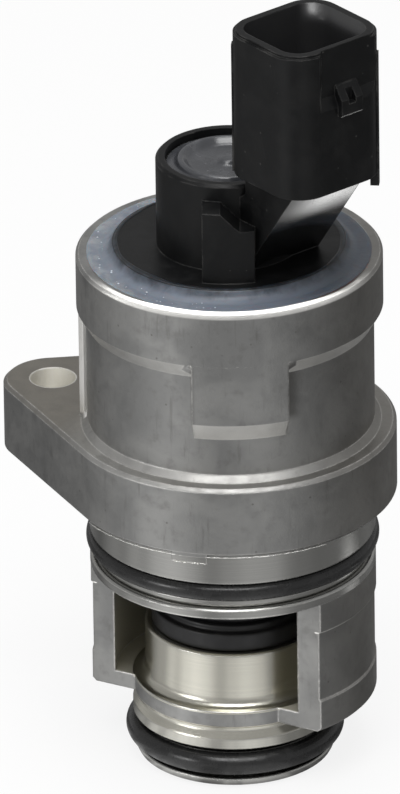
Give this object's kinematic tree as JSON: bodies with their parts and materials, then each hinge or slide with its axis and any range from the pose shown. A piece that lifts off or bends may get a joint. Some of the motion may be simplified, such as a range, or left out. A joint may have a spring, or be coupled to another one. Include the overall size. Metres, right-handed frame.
{
  "type": "idle air control valve",
  "caption": "Idle air control valve: cast body with ported cage and nozzle, solenoid in its cup, moulded cover with an upright plug socket.",
  "frame": {"origin": "on the valve's axis, at the underside of the mounting flange", "axes": "+Z along the valve's axis towards the plug, mounting ear along -X, air window towards -Y"},
  "size_m": [0.06, 0.0458, 0.1158],
  "materials": {
    "cast_body": "as cast, machined at the spigot and nozzle",
    "o_ring_rubber": "semi-gloss",
    "lower_ring_rubber": "semi-gloss",
    "cover_plastic": "moulded, slightly glossy",
    "plug_plastic": "glossy",
    "sealant": "translucent, glossy",
    "terminal_metal": "tin plated",
    "terminal_far_metal": "tin plated",
    "can_steel": "zinc plated",
    "plate_steel": "zinc plated",
    "cushion_rubber": "matte",
    "bobbin_plastic": "natural nylon",
    "winding_copper": "enamelled copper",
    "tube_brass": "drawn",
    "guide_ring_rubber": "matte",
    "core_steel": "turned",
    "screw_brass": "turned",
    "spring_steel": "drawn wire",
    "armature_steel": "plated",
    "shaft_steel": "ground",
    "bushing_bronze": "sintered bronze",
    "bellows_rubber": "matte",
    "poppet_plastic": "matte",
    "face_rubber": "semi-gloss",
    "clip_steel": "zinc plated"
  },
  "bodies": {
    "housing": {"body": "cast_body", "upper_o_ring": "o_ring_rubber", "lower_o_ring": "lower_ring_rubber", "connector_cover": "cover_plastic", "tower_plug": "plug_plastic", "potting_seal": "sealant", "terminal_near": "terminal_metal", "terminal_far": "terminal_far_metal", "flux_can": "can_steel", "flux_plate": "plate_steel", "cushion_ring": "cushion_rubber", "coil_bobbin": "bobbin_plastic", "coil_winding": "winding_copper", "guide_tube": "tube_brass", "guide_o_ring": "guide_ring_rubber", "pole_core": "core_steel", "adjusting_screw": "screw_brass", "return_spring": "spring_steel", "shaft_bushing": "bushing_bronze", "bellows": "bellows_rubber"},
    "valve": {"armature": "armature_steel", "valve_shaft": "shaft_steel", "poppet": "poppet_plastic", "poppet_face": "face_rubber", "retaining_clip": "clip_steel"}
  },
  "joints": [
    {"name": "valve_lift", "type": "slide", "parent": "housing", "child": "valve", "axis": [0, 0, 1], "range_m": [0, 0.003], "stiffness_N_per_m": 400, "springref_m": -0.004, "deforming": ["return_spring", "bellows"]}
  ]
}
